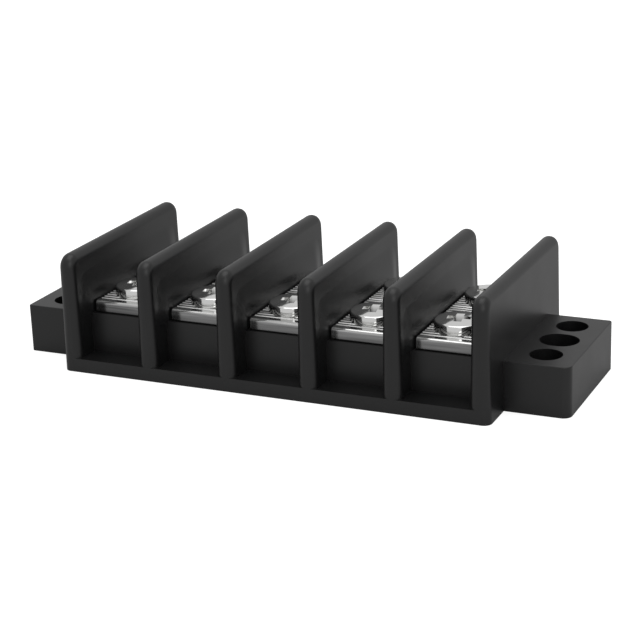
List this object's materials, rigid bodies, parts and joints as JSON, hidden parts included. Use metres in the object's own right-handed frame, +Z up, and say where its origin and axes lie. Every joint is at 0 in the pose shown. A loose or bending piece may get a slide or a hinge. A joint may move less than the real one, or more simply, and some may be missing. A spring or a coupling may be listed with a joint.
{
  "type": "barrier terminal strip",
  "caption": "Double-row barrier terminal strip: black moulded base with tall barriers, plated terminal plates with screw pairs, and a slotted mounting ear at each end.",
  "frame": {"origin": "middle of the underside, on the surface that the strip is screwed to", "axes": "+X along the strip from pole to pole, +Y from the front row of screws to the rear row, +Z up from the mounting surface"},
  "size_m": [0.0738, 0.0286, 0.0154],
  "materials": {
    "moulding": "semi-matt black moulded thermoset",
    "terminal_plating": "bright tin plating over a rolled, grooved strip",
    "screw_plating": "bright nickel plating"
  },
  "bodies": {
    "strip": {"body": "moulding", "terminal_plate_1": "terminal_plating", "terminal_plate_2": "terminal_plating", "terminal_plate_3": "terminal_plating", "terminal_plate_4": "terminal_plating", "terminal_plate_5": "terminal_plating"},
    "front_screw_1": {"front_screw_1": "screw_plating"},
    "rear_screw_1": {"rear_screw_1": "screw_plating"},
    "front_screw_2": {"front_screw_2": "screw_plating"},
    "rear_screw_2": {"rear_screw_2": "screw_plating"},
    "front_screw_3": {"front_screw_3": "screw_plating"},
    "rear_screw_3": {"rear_screw_3": "screw_plating"},
    "front_screw_4": {"front_screw_4": "screw_plating"},
    "rear_screw_4": {"rear_screw_4": "screw_plating"},
    "front_screw_5": {"front_screw_5": "screw_plating"},
    "rear_screw_5": {"rear_screw_5": "screw_plating"}
  },
  "joints": [
    {"name": "front_screw_1_lift", "type": "slide", "parent": "strip", "child": "front_screw_1", "axis": [0, 0, 1], "range_m": [0, 0.003]},
    {"name": "rear_screw_1_lift", "type": "slide", "parent": "strip", "child": "rear_screw_1", "axis": [0, 0, 1], "range_m": [0, 0.003]},
    {"name": "front_screw_2_lift", "type": "slide", "parent": "strip", "child": "front_screw_2", "axis": [0, 0, 1], "range_m": [0, 0.003]},
    {"name": "rear_screw_2_lift", "type": "slide", "parent": "strip", "child": "rear_screw_2", "axis": [0, 0, 1], "range_m": [0, 0.003]},
    {"name": "front_screw_3_lift", "type": "slide", "parent": "strip", "child": "front_screw_3", "axis": [0, 0, 1], "range_m": [0, 0.003]},
    {"name": "rear_screw_3_lift", "type": "slide", "parent": "strip", "child": "rear_screw_3", "axis": [0, 0, 1], "range_m": [0, 0.003]},
    {"name": "front_screw_4_lift", "type": "slide", "parent": "strip", "child": "front_screw_4", "axis": [0, 0, 1], "range_m": [0, 0.003]},
    {"name": "rear_screw_4_lift", "type": "slide", "parent": "strip", "child": "rear_screw_4", "axis": [0, 0, 1], "range_m": [0, 0.003]},
    {"name": "front_screw_5_lift", "type": "slide", "parent": "strip", "child": "front_screw_5", "axis": [0, 0, 1], "range_m": [0, 0.003]},
    {"name": "rear_screw_5_lift", "type": "slide", "parent": "strip", "child": "rear_screw_5", "axis": [0, 0, 1], "range_m": [0, 0.003]}
  ]
}
